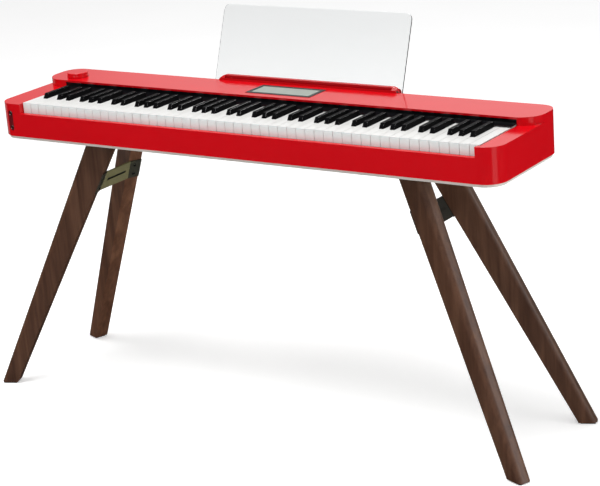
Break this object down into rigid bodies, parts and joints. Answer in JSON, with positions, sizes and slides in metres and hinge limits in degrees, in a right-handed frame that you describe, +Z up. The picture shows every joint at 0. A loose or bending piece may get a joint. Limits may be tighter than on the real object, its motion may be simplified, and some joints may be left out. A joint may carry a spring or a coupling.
{
  "type": "digital piano on stand",
  "caption": "Slim full-size digital piano with a display, a volume knob and a clear music panel, on a stand of splayed wooden legs joined in pairs by metal brackets.",
  "frame": {"origin": "on the floor under the middle of the whole object's outline box", "axes": "+X along the keyboard towards the treble end, +Y to the back of the piano, +Z up"},
  "size_m": [1.45, 0.4377, 0.8876],
  "materials": {
    "case_red": "high gloss",
    "base_grey": "satin",
    "strip_black": "gloss",
    "chassis_plastic": "matt",
    "bright_steel": "satin",
    "stop_felt": "felt",
    "circuit_green": "solder mask",
    "contact_rubber": "matt",
    "speaker_black": "matt",
    "bezel_grey": "gloss",
    "display_glass": "gloss over grey-green display",
    "knob_red": "high gloss",
    "jack_black": "matt",
    "clear_panel": "clear",
    "stand_black": "satin",
    "leg_walnut": "dark satin stain",
    "bracket_bronze": "dark satin",
    "pad_rubber": "matt",
    "key_white": "satin gloss",
    "key_black": "satin"
  },
  "bodies": {
    "piano": {"upper_case": "case_red", "bottom_panel": "base_grey", "fallboard_strip": "strip_black", "key_chassis": "chassis_plastic", "key_pivot_rod": "bright_steel", "key_pivot_blocks": "chassis_plastic", "key_stop_felt": "stop_felt", "key_contact_board": "circuit_green", "rubber_contact_strip": "contact_rubber", "main_board": "circuit_green", "power_board": "circuit_green", "speaker_left": "speaker_black", "speaker_right": "speaker_black", "display_bezel": "bezel_grey", "display_glass": "display_glass", "display_module": "circuit_green", "volume_pot": "bright_steel", "headphone_plate": "jack_black", "headphone_jacks": "jack_black", "rear_jack_panel": "jack_black", "rear_jacks": "jack_black", "music_ledge": "case_red", "case_screws": "bright_steel", "stand_plate_left": "stand_black", "stand_plate_right": "stand_black", "stand_bolts": "bright_steel", "leg_front_left": "leg_walnut", "leg_front_right": "leg_walnut", "leg_rear_left": "leg_walnut", "leg_rear_right": "leg_walnut", "leg_top_screws": "bright_steel", "leg_bracket_left": "bracket_bronze", "leg_bracket_right": "bracket_bronze", "bracket_screws": "bright_steel", "foot_pads": "pad_rubber"},
    "volume": {"volume_knob": "knob_red", "volume_shaft": "bright_steel"},
    "music_panel": {"music_panel": "clear_panel"},
    "white_keys_octave_1": {"white_keys_octave_1": "key_white"},
    "white_keys_octave_2": {"white_keys_octave_2": "key_white"},
    "white_keys_octave_3": {"white_keys_octave_3": "key_white"},
    "white_keys_octave_5": {"white_keys_octave_5": "key_white"},
    "white_keys_octave_6": {"white_keys_octave_6": "key_white"},
    "white_keys_octave_7": {"white_keys_octave_7": "key_white"},
    "black_keys_octave_1": {"black_keys_octave_1": "key_black"},
    "black_keys_octave_2": {"black_keys_octave_2": "key_black"},
    "black_keys_octave_3": {"black_keys_octave_3": "key_black"},
    "black_keys_octaves_5_to_7": {"black_keys_octaves_5_to_7": "key_black"},
    "key_c4": {"key_c4": "key_white"},
    "key_c_sharp4": {"key_c_sharp4": "key_black"},
    "key_d4": {"key_d4": "key_white"},
    "key_d_sharp4": {"key_d_sharp4": "key_black"},
    "key_e4": {"key_e4": "key_white"},
    "key_f4": {"key_f4": "key_white"},
    "key_f_sharp4": {"key_f_sharp4": "key_black"},
    "key_g4": {"key_g4": "key_white"},
    "key_g_sharp4": {"key_g_sharp4": "key_black"},
    "key_a4": {"key_a4": "key_white"},
    "key_a_sharp4": {"key_a_sharp4": "key_black"},
    "key_b4": {"key_b4": "key_white"}
  },
  "joints": [
    {"name": "white_keys_octave_1_press", "type": "hinge", "parent": "piano", "child": "white_keys_octave_1", "pos_m": [0, 0.10111, 0.695], "axis": [1, 0, 0], "range_deg": [0, 2.4], "stiffness_Nm_per_rad": 13.5, "springref_deg": -6.3},
    {"name": "white_keys_octave_2_press", "type": "hinge", "parent": "piano", "child": "white_keys_octave_2", "pos_m": [0, 0.10111, 0.695], "axis": [1, 0, 0], "range_deg": [0, 2.4], "stiffness_Nm_per_rad": 10.5, "springref_deg": -6.3},
    {"name": "white_keys_octave_3_press", "type": "hinge", "parent": "piano", "child": "white_keys_octave_3", "pos_m": [0, 0.10111, 0.695], "axis": [1, 0, 0], "range_deg": [0, 2.4], "stiffness_Nm_per_rad": 10.5, "springref_deg": -6.3},
    {"name": "white_keys_octave_5_press", "type": "hinge", "parent": "piano", "child": "white_keys_octave_5", "pos_m": [0, 0.10111, 0.695], "axis": [1, 0, 0], "range_deg": [0, 2.4], "stiffness_Nm_per_rad": 10.5, "springref_deg": -6.3},
    {"name": "white_keys_octave_6_press", "type": "hinge", "parent": "piano", "child": "white_keys_octave_6", "pos_m": [0, 0.10111, 0.695], "axis": [1, 0, 0], "range_deg": [0, 2.4], "stiffness_Nm_per_rad": 10.5, "springref_deg": -6.3},
    {"name": "white_keys_octave_7_press", "type": "hinge", "parent": "piano", "child": "white_keys_octave_7", "pos_m": [0, 0.10111, 0.695], "axis": [1, 0, 0], "range_deg": [0, 2.4], "stiffness_Nm_per_rad": 12, "springref_deg": -6.3},
    {"name": "black_keys_octave_1_press", "type": "hinge", "parent": "piano", "child": "black_keys_octave_1", "pos_m": [0, 0.10111, 0.695], "axis": [1, 0, 0], "range_deg": [0, 2.4], "stiffness_Nm_per_rad": 7.2, "springref_deg": -6.3},
    {"name": "black_keys_octave_2_press", "type": "hinge", "parent": "piano", "child": "black_keys_octave_2", "pos_m": [0, 0.10111, 0.695], "axis": [1, 0, 0], "range_deg": [0, 2.4], "stiffness_Nm_per_rad": 6, "springref_deg": -6.3},
    {"name": "black_keys_octave_3_press", "type": "hinge", "parent": "piano", "child": "black_keys_octave_3", "pos_m": [0, 0.10111, 0.695], "axis": [1, 0, 0], "range_deg": [0, 2.4], "stiffness_Nm_per_rad": 6, "springref_deg": -6.3},
    {"name": "black_keys_octaves_5_to_7_press", "type": "hinge", "parent": "piano", "child": "black_keys_octaves_5_to_7", "pos_m": [0, 0.10111, 0.695], "axis": [1, 0, 0], "range_deg": [0, 2.4], "stiffness_Nm_per_rad": 18, "springref_deg": -6.3},
    {"name": "key_c4_press", "type": "hinge", "parent": "piano", "child": "key_c4", "pos_m": [0, 0.10111, 0.695], "axis": [1, 0, 0], "range_deg": [0, 2.4], "stiffness_Nm_per_rad": 1.5, "springref_deg": -6.3},
    {"name": "key_c_sharp4_press", "type": "hinge", "parent": "piano", "child": "key_c_sharp4", "pos_m": [0, 0.10111, 0.695], "axis": [1, 0, 0], "range_deg": [0, 2.4], "stiffness_Nm_per_rad": 1.2, "springref_deg": -6.3},
    {"name": "key_d4_press", "type": "hinge", "parent": "piano", "child": "key_d4", "pos_m": [0, 0.10111, 0.695], "axis": [1, 0, 0], "range_deg": [0, 2.4], "stiffness_Nm_per_rad": 1.5, "springref_deg": -6.3},
    {"name": "key_d_sharp4_press", "type": "hinge", "parent": "piano", "child": "key_d_sharp4", "pos_m": [0, 0.10111, 0.695], "axis": [1, 0, 0], "range_deg": [0, 2.4], "stiffness_Nm_per_rad": 1.2, "springref_deg": -6.3},
    {"name": "key_e4_press", "type": "hinge", "parent": "piano", "child": "key_e4", "pos_m": [0, 0.10111, 0.695], "axis": [1, 0, 0], "range_deg": [0, 2.4], "stiffness_Nm_per_rad": 1.5, "springref_deg": -6.3},
    {"name": "key_f4_press", "type": "hinge", "parent": "piano", "child": "key_f4", "pos_m": [0, 0.10111, 0.695], "axis": [1, 0, 0], "range_deg": [0, 2.4], "stiffness_Nm_per_rad": 1.5, "springref_deg": -6.3},
    {"name": "key_f_sharp4_press", "type": "hinge", "parent": "piano", "child": "key_f_sharp4", "pos_m": [0, 0.10111, 0.695], "axis": [1, 0, 0], "range_deg": [0, 2.4], "stiffness_Nm_per_rad": 1.2, "springref_deg": -6.3},
    {"name": "key_g4_press", "type": "hinge", "parent": "piano", "child": "key_g4", "pos_m": [0, 0.10111, 0.695], "axis": [1, 0, 0], "range_deg": [0, 2.4], "stiffness_Nm_per_rad": 1.5, "springref_deg": -6.3},
    {"name": "key_g_sharp4_press", "type": "hinge", "parent": "piano", "child": "key_g_sharp4", "pos_m": [0, 0.10111, 0.695], "axis": [1, 0, 0], "range_deg": [0, 2.4], "stiffness_Nm_per_rad": 1.2, "springref_deg": -6.3},
    {"name": "key_a4_press", "type": "hinge", "parent": "piano", "child": "key_a4", "pos_m": [0, 0.10111, 0.695], "axis": [1, 0, 0], "range_deg": [0, 2.4], "stiffness_Nm_per_rad": 1.5, "springref_deg": -6.3},
    {"name": "key_a_sharp4_press", "type": "hinge", "parent": "piano", "child": "key_a_sharp4", "pos_m": [0, 0.10111, 0.695], "axis": [1, 0, 0], "range_deg": [0, 2.4], "stiffness_Nm_per_rad": 1.2, "springref_deg": -6.3},
    {"name": "key_b4_press", "type": "hinge", "parent": "piano", "child": "key_b4", "pos_m": [0, 0.10111, 0.695], "axis": [1, 0, 0], "range_deg": [0, 2.4], "stiffness_Nm_per_rad": 1.5, "springref_deg": -6.3},
    {"name": "volume_turn", "type": "hinge", "parent": "piano", "child": "volume", "pos_m": [-0.6075, 0.06731, 0.7207], "axis": [0, 0, 1], "range_deg": [-150, 150]},
    {"name": "music_panel_lift", "type": "slide", "parent": "piano", "child": "music_panel", "axis": [0, 0.3584, 0.9336], "range_m": [0, 0.03]}
  ]
}
